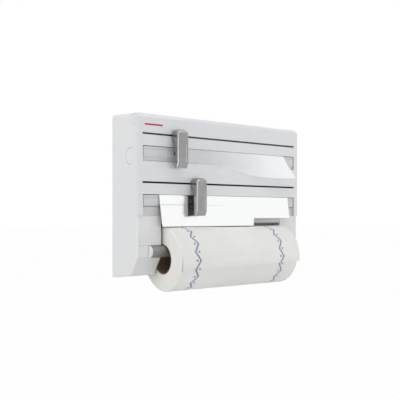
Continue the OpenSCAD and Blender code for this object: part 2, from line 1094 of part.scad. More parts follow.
spring_self_gap = norm(spring_point(spring_rings) - spring_point(0)) - spring_wire;
echo(spring_self_gap = spring_self_gap);

function spring_ring(i) =
    let (a = 360 * i / spring_rings, p = spring_point(i))
    [for (k = [0 : spring_sides - 1])
        let (b = 360 * k / spring_sides, w = spring_wire / 2)
        p + [w * cos(b) * cos(a), w * cos(b) * sin(a), w * sin(b)]];

module spring() {
    last = spring_rings * spring_turns;
    points = [for (i = [0 : last]) each spring_ring(i)];
    sides = spring_sides;
    skin = [for (i = [0 : last - 1])
        for (k = [0 : sides - 1])
            let (a = i * sides + k, b = i * sides + (k + 1) % sides)
            each [[a, a + sides, b], [b, a + sides, b + sides]]];
    start_cap = [for (k = [1 : sides - 2]) [0, k, k + 1]];
    end_cap = [for (k = [1 : sides - 2]) [last * sides, last * sides + k + 1, last * sides + k]];
    translate([-body_w / 2 + button_cap + seam_gap + spring_wire / 2, button_y, button_z])
        rotate([0, 90, 0])
            polyhedron(points, concat(skin, start_cap, end_cap));
}

module left_button_spring() {
    color(steel)
        spring();
}

module right_button_spring() {
    color(steel)
        mirror([1, 0, 0])
            spring();
}

back_panel();
left_side_panel();
right_side_panel();
top_panel();
film_trough();
foil_trough();
recess_wall();
apron();
left_cheek();
right_cheek();
hinge_brackets();
bracket_screws();
trough_screws();
left_button_guide();
right_button_guide();
front_cover();
hinge_pins();
upper_guide_rail();
lower_guide_rail();
rail_screws();
upper_press_bar();
lower_press_bar();
cover_catches();
film_sheet();
foil_sheet();
upper_cutter_grip();
upper_cutter_carriage();
upper_cutter_blade();
lower_cutter_grip();
lower_cutter_carriage();
lower_cutter_blade();
paper_rod();
rod_caps();
paper_core();
paper_roll();
paper_tail();
film_core();
film_roll();
foil_core();
foil_roll();
left_button();
right_button();
left_button_spring();
right_button_spring();
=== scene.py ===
# Looks of a wall-mounted holder for film, foil and kitchen paper, in metres
import math

import bmesh
import bpy
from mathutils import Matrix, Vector, noise


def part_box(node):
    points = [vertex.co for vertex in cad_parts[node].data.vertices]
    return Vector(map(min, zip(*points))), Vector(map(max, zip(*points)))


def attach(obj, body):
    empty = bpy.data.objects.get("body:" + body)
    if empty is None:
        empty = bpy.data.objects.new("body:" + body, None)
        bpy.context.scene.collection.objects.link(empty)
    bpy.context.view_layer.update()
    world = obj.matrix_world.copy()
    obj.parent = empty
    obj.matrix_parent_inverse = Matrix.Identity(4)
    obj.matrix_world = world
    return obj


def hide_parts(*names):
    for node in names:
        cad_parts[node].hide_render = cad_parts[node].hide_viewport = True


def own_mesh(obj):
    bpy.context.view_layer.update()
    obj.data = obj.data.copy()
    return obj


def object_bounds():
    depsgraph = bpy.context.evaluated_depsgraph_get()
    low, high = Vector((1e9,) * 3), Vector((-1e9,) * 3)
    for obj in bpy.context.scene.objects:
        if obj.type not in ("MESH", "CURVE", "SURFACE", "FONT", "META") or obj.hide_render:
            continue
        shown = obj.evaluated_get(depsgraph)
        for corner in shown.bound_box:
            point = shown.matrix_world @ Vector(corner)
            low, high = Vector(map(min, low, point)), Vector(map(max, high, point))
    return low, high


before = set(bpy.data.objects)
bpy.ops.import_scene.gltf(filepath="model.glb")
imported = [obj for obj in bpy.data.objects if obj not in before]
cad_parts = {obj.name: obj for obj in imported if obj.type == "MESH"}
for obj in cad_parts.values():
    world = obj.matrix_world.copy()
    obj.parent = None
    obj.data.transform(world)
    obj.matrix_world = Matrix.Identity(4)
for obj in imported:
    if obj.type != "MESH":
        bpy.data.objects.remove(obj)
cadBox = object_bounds()
scene = bpy.context.scene
mm = 0.001
print("frame loaded:", len(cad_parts), "nodes")

# Camera, floor and lamps

cameraView = {
    "place": (-0.6630, -0.8962, -0.0318),
    "yaw": -36.76,
    "lens": 54.77,
    "sensor": 36,
    "shiftY": 0.0378,  # the horizon lies a little under the middle of the frame
}


def makeCamera():
    data = bpy.data.cameras.new("camera")
    data.lens = cameraView["lens"]
    data.sensor_width = cameraView["sensor"]
    data.shift_y = cameraView["shiftY"]
    camera = bpy.data.objects.new("camera", data)
    camera.location = cameraView["place"]
    camera.rotation_euler = (math.radians(90), 0, math.radians(cameraView["yaw"]))
    scene.collection.objects.link(camera)
    scene.camera = camera


studio = {
    "floorDrop": 0.30,  # floor below the lowest piece
    "floorSize": 40,
    "floorPaint": (0.85, 0.85, 0.85),
    "floorRough": 0.9,
    "floorWhite": 0.98,  # share of plain white that the camera sees on the floor
    "ambient": 0.36,
    "ambientTint": (0.97, 0.98, 1.0),
    "aim": (0.0, -0.05, 0.0),
}

# place, size and power of each soft lamp; the front ones would burn out the foil if mirrors showed them
softLamps = {
    "rightKey": {"place": (2.0, -1.60, -0.08), "size": (0.7, 0.35), "watts": 8.6, "inMirrors": False},
    "leftFill": {"place": (-1.70, -0.05, 0.30), "size": (1.1, 1.8), "watts": 13.4, "inMirrors": True},
    "frontSoft": {"place": (0.1, -1.8, -0.03), "size": (1.5, 0.9), "watts": 6.6, "inMirrors": False},
    "topSoft": {"place": (0.0, -0.55, 1.35), "size": (1.6, 1.0), "watts": 8.0, "inMirrors": True},
}


def makeLamp(name, setup):
    data = bpy.data.lights.new(name, "AREA")
    data.shape = "RECTANGLE"
    data.size, data.size_y = setup["size"]
    data.energy = setup["watts"]
    lamp = bpy.data.objects.new(name, data)
    lamp.location = setup["place"]
    towards = Vector(studio["aim"]) - Vector(setup["place"])
    lamp.rotation_euler = towards.to_track_quat("-Z", "Y").to_euler()
    lamp.visible_glossy = setup["inMirrors"]
    scene.collection.objects.link(lamp)


def seenAsBackground(tree):
    # 1 for the rays that should meet plain white
    path = tree.nodes.new("ShaderNodeLightPath")
    seen = mathOf(tree, "MAXIMUM", path.outputs["Is Camera Ray"], path.outputs["Is Glossy Ray"])
    return mathOf(tree, "MAXIMUM", seen, path.outputs["Is Transmission Ray"])


def makeWorld():
    world = bpy.data.worlds.new("studio")
    world.use_nodes = True
    tree = world.node_tree
    ambient = tree.nodes["Background"]
    ambient.inputs["Color"].default_value = (*studio["ambientTint"], 1)
    ambient.inputs["Strength"].default_value = studio["ambient"]
    white = tree.nodes.new("ShaderNodeBackground")
    white.inputs["Color"].default_value = (1, 1, 1, 1)
    mix = tree.nodes.new("ShaderNodeMixShader")
    tree.links.new(seenAsBackground(tree), mix.inputs[0])
    tree.links.new(ambient.outputs[0], mix.inputs[1])
    tree.links.new(white.outputs[0], mix.inputs[2])
    tree.links.new(mix.outputs[0], tree.nodes["World Output"].inputs["Surface"])
    scene.world = world


def makeFloor():
    shell = bmesh.new()
    bmesh.ops.create_grid(shell, x_segments=1, y_segments=1, size=studio["floorSize"] / 2)
    bmesh.ops.translate(shell, verts=shell.verts, vec=(0, 0, cadBox[0].z - studio["floorDrop"]))
    mesh = bpy.data.meshes.new("floor")
    shell.to_mesh(mesh)
    shell.free()
    floor = bpy.data.objects.new("floor", mesh)
    scene.collection.objects.link(floor)
    material = bpy.data.materials.new("floor paint")
    material.use_nodes = True
    tree = material.node_tree
    paint = tree.nodes["Principled BSDF"]
    paint.inputs["Base Color"].default_value = (*studio["floorPaint"], 1)
    paint.inputs["Roughness"].default_value = studio["floorRough"]
    glow = tree.nodes.new("ShaderNodeEmission")
    mix = tree.nodes.new("ShaderNodeMixShader")
    share = mathOf(tree, "MULTIPLY", seenAsBackground(tree), studio["floorWhite"])
    tree.links.new(share, mix.inputs[0])
    tree.links.new(paint.outputs[0], mix.inputs[1])
    tree.links.new(glow.outputs[0], mix.inputs[2])
    tree.links.new(mix.outputs[0], tree.nodes["Material Output"].inputs["Surface"])
    mesh.materials.append(material)


# Helpers for node trees

floatSocket = "NodeSocketFloat"
colourSocket = "NodeSocketColor"


def feed(tree, socket, value):
    # sets a number on a socket, or links another node's output to it
    if isinstance(value, (int, float)):
        socket.default_value = value
    else:
        tree.links.new(value, socket)


def mathOf(tree, operation, *values):
    node = tree.nodes.new("ShaderNodeMath")
    node.operation = operation
    for slot, value in enumerate(values):
        feed(tree, node.inputs[slot], value)
    return node.outputs[0]


def mapRange(tree, value, low, high, outLow, outHigh):
    node = tree.nodes.new("ShaderNodeMapRange")
    tree.links.new(value, node.inputs["Value"])
    node.inputs["From Min"].default_value = low
    node.inputs["From Max"].default_value = high
    node.inputs["To Min"].default_value = outLow
    node.inputs["To Max"].default_value = outHigh
    return node.outputs["Result"]


def colourRamp(tree, value, stops):
    node = tree.nodes.new("ShaderNodeValToRGB")
    ramp = node.color_ramp
    while len(ramp.elements) < len(stops):
        ramp.elements.new(0.5)
    for element, (position, colour) in zip(ramp.elements, stops):
        element.position = position
        element.color = (*colour, 1)
    tree.links.new(value, node.inputs["Fac"])
    return node.outputs["Color"]


def mixColour(tree, factor, first, second):
    node = tree.nodes.new("ShaderNodeMix")
    node.data_type = "RGBA"
    tree.links.new(factor, node.inputs[0])
    for slot, value in ((6, first), (7, second)):
        if isinstance(value, tuple):
            node.inputs[slot].default_value = (*value, 1)
        else:
            tree.links.new(value, node.inputs[slot])
    return node.outputs[2]


def noiseOf(tree, vector, scale, detail=3.0, roughness=0.55):
    node = tree.nodes.new("ShaderNodeTexNoise")
    node.inputs["Detail"].default_value = detail
    node.inputs["Roughness"].default_value = roughness
    tree.links.new(vector, node.inputs["Vector"])
    feed(tree, node.inputs["Scale"], scale)
    return node.outputs["Fac"]


def stretched(tree, vector, scale):
    node = tree.nodes.new("ShaderNodeMapping")
    node.inputs["Scale"].default_value = scale
    tree.links.new(vector, node.inputs["Vector"])
    return node.outputs["Vector"]


def objectCoords(tree):
    return tree.nodes.new("ShaderNodeTexCoord").outputs["Object"]


def joinXYZ(tree, x, y, z=0.0):
    node = tree.nodes.new("ShaderNodeCombineXYZ")
    for slot, value in enumerate((x, y, z)):
        feed(tree, node.inputs[slot], value)
    return node.outputs[0]


def splitXYZ(tree):
    # the three parts of a point's place on the object
    node = tree.nodes.new("ShaderNodeSeparateXYZ")
    tree.links.new(objectCoords(tree), node.inputs[0])
    return node.outputs


def newGroup(name, inputs, outputs):
    group = bpy.data.node_groups.new(name, "ShaderNodeTree")
    for socketName, value in inputs:
        socket = group.interface.new_socket(name=socketName, in_out="INPUT", socket_type=floatSocket)
        socket.default_value = value
    for socketName, kind in outputs:
        group.interface.new_socket(name=socketName, in_out="OUTPUT", socket_type=kind)
    return group, group.nodes.new("NodeGroupInput"), group.nodes.new("NodeGroupOutput")


def placeGroup(tree, group, **values):
    node = tree.nodes.new("ShaderNodeGroup")
    node.node_tree = group
    for name, value in values.items():
        feed(tree, node.inputs[name], value)
    return node.outputs


def distanceOf(tree, x, y):
    squares = [mathOf(tree, "MULTIPLY", side, side) for side in (x, y)]
    return mathOf(tree, "SQRT", mathOf(tree, "ADD", *squares))


# Effects that several finishes share

def buildMouldedSkin():
    group, given, made = newGroup(
        "moulded skin",
        [("Grain", 2200.0), ("Blotch", 9.0)],
        [("Height", floatSocket), ("Tone", floatSocket)],
    )
    coords = objectCoords(group)
    grain = noiseOf(group, coords, given.outputs["Grain"], 4.0, 0.6)
    blotch = noiseOf(group, coords, given.outputs["Blotch"], 3.0, 0.5)
    streak = noiseOf(group, stretched(group, coords, (3.0, 3.0, 60.0)), 4.0, 2.0)
    group.links.new(grain, made.inputs["Height"])
    blotchShare = mathOf(group, "MULTIPLY", blotch, 0.75)
    streakShare = mathOf(group, "MULTIPLY", streak, 0.25)
    group.links.new(mathOf(group, "ADD", blotchShare, streakShare), made.inputs["Tone"])
    return group


def buildRollCoords():
    # distance along and out from a roll's axis, and the angle round it from the front
    group, given, made = newGroup(
        "roll coordinates",
        [("AxisY", 0.0), ("AxisZ", 0.0)],
        [("Along", floatSocket), ("Angle", floatSocket), ("Radius", floatSocket)],
    )
    place = splitXYZ(group)
    front = mathOf(group, "SUBTRACT", given.outputs["AxisY"], place["Y"])
    above = mathOf(group, "SUBTRACT", place["Z"], given.outputs["AxisZ"])
    group.links.new(place["X"], made.inputs["Along"])
    group.links.new(mathOf(group, "ARCTAN2", above, front), made.inputs["Angle"])
    group.links.new(distanceOf(group, front, above), made.inputs["Radius"])
    return group


def buildWindingRings():
    # fine layers on the end of a wound roll
    group, given, made = newGroup(
        "winding rings", [("Radius", 0.0), ("Layers", 900.0)], [("Ring", floatSocket)]
    )
    line = joinXYZ(group, given.outputs["Radius"], 0.0)
    ring = noiseOf(group, line, given.outputs["Layers"], 5.0, 0.7)
    group.links.new(ring, made.inputs["Ring"])
    return group


def buildBrushLines():
    group, given, made = newGroup("brush lines", [("Fine", 40.0)], [("Line", floatSocket)])
    lines = stretched(group, objectCoords(group), (1.0, 40.0, 40.0))
    group.links.new(noiseOf(group, lines, given.outputs["Fine"], 4.0, 0.65), made.inputs["Line"])
    return group


mouldedSkin = buildMouldedSkin()
rollCoords = buildRollCoords()
windingRings = buildWindingRings()
brushLines = buildBrushLines()
print("shared effects built")


# Finishes

def newFinish(name, roughness=0.5, metallic=0.0):
    material = bpy.data.materials.new(name)
    material.use_nodes = True
    shader = material.node_tree.nodes["Principled BSDF"]
    shader.inputs["Roughness"].default_value = roughness
    shader.inputs["Metallic"].default_value = metallic
    return material, material.node_tree, shader


def addBump(tree, shader, height, strength, distance):
    bump = tree.nodes.new("ShaderNodeBump")
    bump.inputs["Strength"].default_value = strength
    bump.inputs["Distance"].default_value = distance
    tree.links.new(height, bump.inputs["Height"])
    tree.links.new(bump.outputs["Normal"], shader.inputs["Normal"])


# pale and shaded colour, roughness span and bump of each moulded plastic
plastics = {
    "housing white": {"pale": (0.80, 0.80, 0.80), "shade": (0.765, 0.77, 0.775), "rough": (0.36, 0.48),
                      "grain": 1900.0, "blotch": 8.0, "bump": 0.10, "metal": 0.0},
    "cover white": {"pale": (0.78, 0.785, 0.795), "shade": (0.745, 0.755, 0.775), "rough": (0.26, 0.36),
                    "grain": 2600.0, "blotch": 7.0, "bump": 0.06, "metal": 0.0},
    "inner white": {"pale": (0.74, 0.74, 0.74), "shade": (0.69, 0.70, 0.71), "rough": (0.45, 0.6),
                    "grain": 1500.0, "blotch": 14.0, "bump": 0.12, "metal": 0.0},
    # painted light: the recess wall is paler than the housing white, to lighten the shade inside the recess
    "recess painted light white": {"pale": (0.90, 0.90, 0.89), "shade": (0.87, 0.87, 0.87), "rough": (0.45, 0.6),
                     "grain": 2600.0, "blotch": 12.0, "bump": 0.12, "metal": 0.0},
    "press bar white": {"pale": (0.66, 0.675, 0.695), "shade": (0.62, 0.64, 0.665), "rough": (0.2, 0.3),
                        "grain": 2600.0, "blotch": 10.0, "bump": 0.05, "metal": 0.0},
    "dark plastic": {"pale": (0.030, 0.029, 0.026), "shade": (0.016, 0.016, 0.015), "rough": (0.45, 0.6),
                     "grain": 1800.0, "blotch": 20.0, "bump": 0.12, "metal": 0.0},
    "olive plastic": {"pale": (0.26, 0.245, 0.185), "shade": (0.20, 0.188, 0.14), "rough": (0.45, 0.6),
                      "grain": 1800.0, "blotch": 20.0, "bump": 0.12, "metal": 0.0},
    "silver plastic": {"pale": (0.351, 0.351, 0.351), "shade": (0.298, 0.298, 0.304), "rough": (0.20, 0.27),
                       "grain": 5200.0, "blotch": 30.0, "bump": 0.08, "metal": 0.85},
    # painted shade: the apron is greyer than the housing white, standing in for the shadow in the gap under
    # the foil
    "apron painted shade grey": {"pale": (0.62, 0.62, 0.615), "shade": (0.58, 0.58, 0.58), "rough": (0.42, 0.55),
                   "grain": 3000.0, "blotch": 18.0, "bump": 0.08, "metal": 0.0},
    "rod grey": {"pale": (0.285, 0.29, 0.285), "shade": (0.245, 0.25, 0.25), "rough": (0.32, 0.42),
                 "grain": 3000.0, "blotch": 18.0, "bump": 0.08, "metal": 0.2},
    "stripe red": {"pale": (0.55, 0.035, 0.055), "shade": (0.46, 0.025, 0.04), "rough": (0.35, 0.45),
                   "grain": 3000.0, "blotch": 60.0, "bump": 0.05, "metal": 0.0},
}


def plasticFinish(name):
    look = plastics[name]
    material, tree, shader = newFinish(name, metallic=look["metal"])
    skin = placeGroup(tree, mouldedSkin, Grain=look["grain"], Blotch=look["blotch"])
    colour = colourRamp(tree, skin["Tone"], [(0.35, look["shade"]), (0.65, look["pale"])])
    tree.links.new(colour, shader.inputs["Base Color"])
    rough = mapRange(tree, skin["Tone"], 0.3, 0.7, look["rough"][1], look["rough"][0])
    tree.links.new(rough, shader.inputs["Roughness"])
    addBump(tree, shader, skin["Height"], look["bump"], 0.2 * mm)
    return material


def steelFinish():
    material, tree, shader = newFinish("bright steel", metallic=1.0)
    line = placeGroup(tree, brushLines, Fine=60.0)["Line"]
    tree.links.new(colourRamp(tree, line, [(0.3, (0.52, 0.53, 0.55)), (0.7, (0.68, 0.69, 0.71))]),
                   shader.inputs["Base Color"])
    tree.links.new(mapRange(tree, line, 0.3, 0.7, 0.38, 0.24), shader.inputs["Roughness"])
    addBump(tree, shader, line, 0.15, 0.05 * mm)
    return material


def cardFinish(name, axis):
    # grey-brown board with fibres and the seam of its spiral winding
    material, tree, shader = newFinish(name, roughness=0.9)
    coords = placeGroup(tree, rollCoords, AxisY=axis[0], AxisZ=axis[1])
    fibre = noiseOf(tree, stretched(tree, objectCoords(tree), (0.35, 1.0, 1.0)), 900.0, 4.0, 0.7)
    turn = mathOf(tree, "MULTIPLY", coords["Angle"], 1 / (2 * math.pi))
    lead = mathOf(tree, "ADD", mathOf(tree, "MULTIPLY", coords["Along"], 11.0), turn)
    seam = mapRange(tree, mathOf(tree, "FRACT", lead), 0.0, 0.03, 1.0, 0.0)
    board = colourRamp(tree, fibre, [(0.3, (0.27, 0.18, 0.115)), (0.7, (0.40, 0.29, 0.195))])
    tree.links.new(mixColour(tree, mathOf(tree, "MULTIPLY", seam, 0.6), board, (0.16, 0.10, 0.06)),
                   shader.inputs["Base Color"])
    addBump(tree, shader, mathOf(tree, "SUBTRACT", fibre, seam), 0.35, 0.15 * mm)
    return material


makeCamera()
makeWorld()
makeFloor()
for lampName, lampSetup in softLamps.items():
    makeLamp(lampName, lampSetup)
print("camera, floor and lamps in place")

# painted shade on the press bars where they dip behind the window's ends and lower edge
barShade = {
    "ends": (163.2 * mm, 165.4 * mm),
    "lowZ": 53.9 * mm,
    "lowWidth": (0.5 * mm, 1.3 * mm),
    "lowDepth": 0.8,
    "tone": (0.24, 0.25, 0.26),
}


def addBarShade(material):
    tree = material.node_tree
    shader = next(node for node in tree.nodes if node.type == "BSDF_PRINCIPLED")
    plain = shader.inputs["Base Color"].links[0].from_socket
    place = splitXYZ(tree)
    across = mathOf(tree, "ABSOLUTE", place["X"])
    ends = mapRange(tree, across, *barShade["ends"], 0.0, 1.0)
    above = mathOf(tree, "ABSOLUTE", mathOf(tree, "SUBTRACT", place["Z"], barShade["lowZ"]))
    low = mapRange(tree, above, *barShade["lowWidth"], barShade["lowDepth"], 0.0)
    # painted shade: the bar's colour turns dark at its ends and along its lower edge
    shaded = mixColour(tree, mathOf(tree, "MAXIMUM", ends, low), plain, barShade["tone"])
    tree.links.new(shaded, shader.inputs["Base Color"])


finishes = {name: plasticFinish(name) for name in plastics}
addBarShade(finishes["press bar white"])
finishes["steel"] = steelFinish()


# Paper: embossed cells, layered ends and a printed border

def boxMiddle(node):
    low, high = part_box(node)
    return (low + high) / 2


paperAxis = boxMiddle("paper_roll")
paperLow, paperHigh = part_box("paper_roll")
paperRadius = (paperHigh.z - paperLow.z) / 2

paperLook = {
    "cell": 5.2 * mm,  # pitch of the embossed cells
    "borders": (33 * mm, 214 * mm),  # from the left end to each printed border
    "bends": 12,  # bends of a border's ribbon to each side, all the way round
    "swing": 4.6 * mm,
    "stroke": 0.9 * mm,
    "halo": 2.2 * mm,
    "dot": 2.0 * mm,
}


def buildEmboss():
    group, given, made = newGroup(
        "paper emboss", [("Along", 0.0), ("Around", 0.0)], [("Height", floatSocket)]
    )
    cells = group.nodes.new("ShaderNodeTexVoronoi")
    cells.voronoi_dimensions = "2D"
    cells.inputs["Scale"].default_value = 1 / paperLook["cell"]
    cells.inputs["Randomness"].default_value = 0.12
    group.links.new(joinXYZ(group, given.outputs["Along"], given.outputs["Around"]), cells.inputs["Vector"])
    pillow = mapRange(group, cells.outputs["Distance"], 0.1, 0.6, 1.0, 0.0)
    fluff = noiseOf(group, objectCoords(group), 2600.0, 3.0, 0.7)
    height = mathOf(group, "ADD", pillow, mathOf(group, "MULTIPLY", fluff, 0.35))
    group.links.new(height, made.inputs["Height"])
    return group


def buildBorder():
    # a ribbon that zigzags about Offset 0 on a pale halo, with a dot in each bend
    group, given, made = newGroup(
        "printed border", [("Offset", 0.0), ("Around", 0.0)], [("Mask", floatSocket), ("Ink", colourSocket)]
    )
    pitch = 2 * math.pi * paperRadius / paperLook["bends"]
    swing = paperLook["swing"]
    square = math.cos(math.atan(4 * swing / pitch))
    step = mathOf(group, "MULTIPLY", given.outputs["Around"], 1 / pitch)
    half = mathOf(group, "ABSOLUTE", mathOf(group, "SUBTRACT", mathOf(group, "FRACT", step), 0.5))
    bend = mathOf(group, "SUBTRACT", mathOf(group, "MULTIPLY", half, 4.0), 1.0)
    aside = mathOf(group, "SUBTRACT", given.outputs["Offset"], mathOf(group, "MULTIPLY", bend, swing))
    away = mathOf(group, "MULTIPLY", mathOf(group, "ABSOLUTE", aside), square)
    stroke = mapRange(group, away, paperLook["stroke"], paperLook["stroke"] + 0.5 * mm, 1.0, 0.0)
    halo = mapRange(group, away, paperLook["stroke"], paperLook["halo"] + 0.6 * mm, 1.0, 0.0)
    inside = mathOf(group, "MULTIPLY", mathOf(group, "SIGN", bend), 0.55 * swing)
    dotAside = mathOf(group, "ADD", given.outputs["Offset"], inside)
    short = mathOf(group, "SUBTRACT", 1.0, mathOf(group, "ABSOLUTE", bend))
    fromDot = distanceOf(group, dotAside, mathOf(group, "MULTIPLY", short, pitch / 4))
    dot = mapRange(group, fromDot, paperLook["dot"] - 0.4 * mm, paperLook["dot"] + 0.3 * mm, 1.0, 0.0)
    paleHalo = mathOf(group, "MULTIPLY", halo, 0.6)
    printed = mathOf(group, "MAXIMUM", stroke, dot)
    group.links.new(mathOf(group, "MAXIMUM", printed, paleHalo), made.inputs["Mask"])
    blueLilac = mixColour(group, stroke, (0.40, 0.36, 0.66), (0.085, 0.115, 0.27))
    group.links.new(mixColour(group, dot, blueLilac, (0.05, 0.30, 0.33)), made.inputs["Ink"])
    return group


paperEmboss = buildEmboss()
printedBorder = buildBorder()


def paperFinish():
    material, tree, shader = newFinish("kitchen paper", roughness=0.92)
    coords = placeGroup(tree, rollCoords, AxisY=paperAxis.y, AxisZ=paperAxis.z)
    around = mathOf(tree, "MULTIPLY", coords["Angle"], paperRadius)
    height = placeGroup(tree, paperEmboss, Along=coords["Along"], Around=around)["Height"]
    ring = placeGroup(tree, windingRings, Radius=coords["Radius"], Layers=1600.0)["Ring"]
    outside = mapRange(tree, coords["Radius"], paperRadius - 2.0 * mm, paperRadius - 0.8 * mm, 0.0, 1.0)
    blotch = noiseOf(tree, objectCoords(tree), 14.0, 3.0)
    sheet = colourRamp(tree, blotch, [(0.3, (0.81, 0.805, 0.775)), (0.7, (0.86, 0.855, 0.83))])
    layers = colourRamp(tree, ring, [(0.3, (0.74, 0.73, 0.69)), (0.65, (0.85, 0.845, 0.81))])
    base = mixColour(tree, outside, layers, sheet)
    for distance in paperLook["borders"]:
        offset = mathOf(tree, "SUBTRACT", coords["Along"], paperLow.x + distance)
        border = placeGroup(tree, printedBorder, Offset=offset, Around=around)
        ink = mathOf(tree, "MULTIPLY", mathOf(tree, "MULTIPLY", border["Mask"], outside), 0.85)
        base = mixColour(tree, ink, base, border["Ink"])
    tree.links.new(base, shader.inputs["Base Color"])
    shader.inputs["Sheen Weight"].default_value = 0.15
    relief = mathOf(tree, "ADD", mathOf(tree, "MULTIPLY", height, outside), ring)
    addBump(tree, shader, relief, 0.45, 0.3 * mm)
    return material


finishes["paper"] = paperFinish()
finishes["paper core card"] = cardFinish("paper core card", (paperAxis.y, paperAxis.z))


# Film and foil

filmAxis = boxMiddle("film_roll")
foilAxis = boxMiddle("foil_roll")


def buildCrinkle():
    # sharp little facets over broad soft waves
    group, given, made = newGroup("foil crinkle", [("Facets", 60.0)], [("Height", floatSocket)])
    coords = objectCoords(group)
    facets = group.nodes.new("ShaderNodeTexVoronoi")
    facets.feature = "DISTANCE_TO_EDGE"
    group.links.new(coords, facets.inputs["Vector"])
    group.links.new(given.outputs["Facets"], facets.inputs["Scale"])
    crease = mapRange(group, facets.outputs["Distance"], 0.0, 0.12, 0.0, 1.0)
    wave = noiseOf(group, coords, 45.0, 3.0)
    height = mathOf(group, "ADD", mathOf(group, "MULTIPLY", crease, 0.25), wave)
    group.links.new(height, made.inputs["Height"])
    return group


foilCrinkle = buildCrinkle()


# painted shade: a darker line along the fold across the hanging foil
foilCreaseShade = {"z": -15.3 * mm, "width": (0.3 * mm, 1.0 * mm), "depth": 0.75, "fade": (-70 * mm, 10 * mm),
              "tone": (0.52, 0.53, 0.55)}


def foilFinish():
    material, tree, shader = newFinish("aluminium foil", metallic=1.0)
    height = placeGroup(tree, foilCrinkle, Facets=70.0)["Height"]
    coords = placeGroup(tree, rollCoords, AxisY=foilAxis.y, AxisZ=foilAxis.z)
    ring = placeGroup(tree, windingRings, Radius=coords["Radius"], Layers=2600.0)["Ring"]
    bright = colourRamp(tree, ring, [(0.3, (0.925, 0.93, 0.935)), (0.7, (0.975, 0.98, 0.985))])
    place = splitXYZ(tree)
    # painted shade along the fold, fading out towards the right
    off = mathOf(tree, "ABSOLUTE", mathOf(tree, "SUBTRACT", place["Z"], foilCreaseShade["z"]))
    line = mapRange(tree, off, *foilCreaseShade["width"], foilCreaseShade["depth"], 0.0)
    fade = mapRange(tree, place["X"], *foilCreaseShade["fade"], 1.0, 0.0)
    creaseShaded = mixColour(tree, mathOf(tree, "MULTIPLY", line, fade), bright, foilCreaseShade["tone"])
    tree.links.new(creaseShaded, shader.inputs["Base Color"])
    tree.links.new(mapRange(tree, height, 0.4, 1.0, 0.24, 0.15), shader.inputs["Roughness"])
    addBump(tree, shader, height, 0.10, 0.5 * mm)
    return material


filmLook = {
    "sides": (-121 * mm, 139 * mm),
    "hang": (25 * mm, 48 * mm),  # below the slit at the left and right edges
    "lean": (0.5 * mm, 22 * mm),  # how far the free edge stands forward
    "spread": 11 * mm,  # how far the right corner moves outwards
    "hangFrom": 0.3,  # share of the width at which it starts to hang lower
    "curlFrom": 0.62,  # and at which it starts to curl forward
    "curlPower": 1.4,
    "ripple": 0.3 * mm,
    "hangShares": (0.52, 0.48),  # of the left and right hang in its mean length
    "bend": 0.6 * mm,
    "thick": 0.06 * mm,
    "slitZ": 77 * mm,
    "slant": 0.65,  # how far the milky part leans over for each unit down
    "flatOver": (-108 * mm, -96 * mm),  # where the film that lies flat starts to show
    "flatMilk": (0.05, 0.30),
    "looseOver": (-60 * mm, 85 * mm),  # where it turns milky
    "looseMilk": 0.62,
    # the paler colour is painted light, for the light the loose film catches
    "paintedLightOver": (-90 * mm, 132 * mm),  # where it turns paler
    "paintedLightTones": [(0.0, (0.80, 0.82, 0.835)), (0.45, (0.875, 0.89, 0.905)), (0.65, (0.91, 0.92, 0.93)),
              (0.85, (0.95, 0.955, 0.96)), (1.0, (0.98, 0.98, 0.98))],
}


def filmFinish():
    # clear film: seen through where it lies flat, milky from its haze and paler from painted light towards
    # its loose right edge
    material, tree, shader = newFinish("cling film", roughness=0.35)
    place = splitXYZ(tree)
    below = mathOf(tree, "SUBTRACT", place["Z"], filmLook["slitZ"])
    reach = mathOf(tree, "ADD", place["X"], mathOf(tree, "MULTIPLY", below, filmLook["slant"]))
    wrinkle = noiseOf(tree, stretched(tree, objectCoords(tree), (0.5, 1.0, 0.35)), 24.0, 3.0, 0.5)
    flat = mapRange(tree, reach, *filmLook["flatOver"], *filmLook["flatMilk"])
    loose = mapRange(tree, reach, *filmLook["looseOver"], 0.0, filmLook["looseMilk"])
    tree.links.new(mathOf(tree, "ADD", flat, loose), shader.inputs["Alpha"])
    # painted light: the colour grows paler towards the loose right edge
    pale = mapRange(tree, reach, *filmLook["paintedLightOver"], 0.0, 1.0)
    tree.links.new(colourRamp(tree, pale, filmLook["paintedLightTones"]), shader.inputs["Base Color"])
    addBump(tree, shader, wrinkle, 0.06, 0.4 * mm)
    return material


def filmRollFinish():
    material, tree, shader = newFinish("wound film", roughness=0.12)
    coords = placeGroup(tree, rollCoords, AxisY=filmAxis.y, AxisZ=filmAxis.z)
    ring = placeGroup(tree, windingRings, Radius=coords["Radius"], Layers=2200.0)["Ring"]
    band = noiseOf(tree, stretched(tree, objectCoords(tree), (1.0, 0.05, 0.05)), 120.0, 4.0, 0.7)
    tone = mathOf(tree, "MULTIPLY", mathOf(tree, "ADD", ring, band), 0.5)
    tree.links.new(colourRamp(tree, tone, [(0.35, (0.50, 0.58, 0.62)), (0.65, (0.72, 0.78, 0.80))]),
                   shader.inputs["Base Color"])
    tree.links.new(mapRange(tree, band, 0.3, 0.7, 0.22, 0.08), shader.inputs["Roughness"])
    addBump(tree, shader, tone, 0.2, 0.1 * mm)
    shader.inputs["Coat Weight"].default_value = 0.6
    shader.inputs["Coat Roughness"].default_value = 0.05
    return material


finishes["foil"] = foilFinish()
finishes["film"] = filmFinish()
finishes["wound film"] = filmRollFinish()
finishes["film core card"] = cardFinish("film core card", (filmAxis.y, filmAxis.z))
finishes["foil core card"] = cardFinish("foil core card", (foilAxis.y, foilAxis.z))
print("finishes built:", len(finishes))


# Making pieces

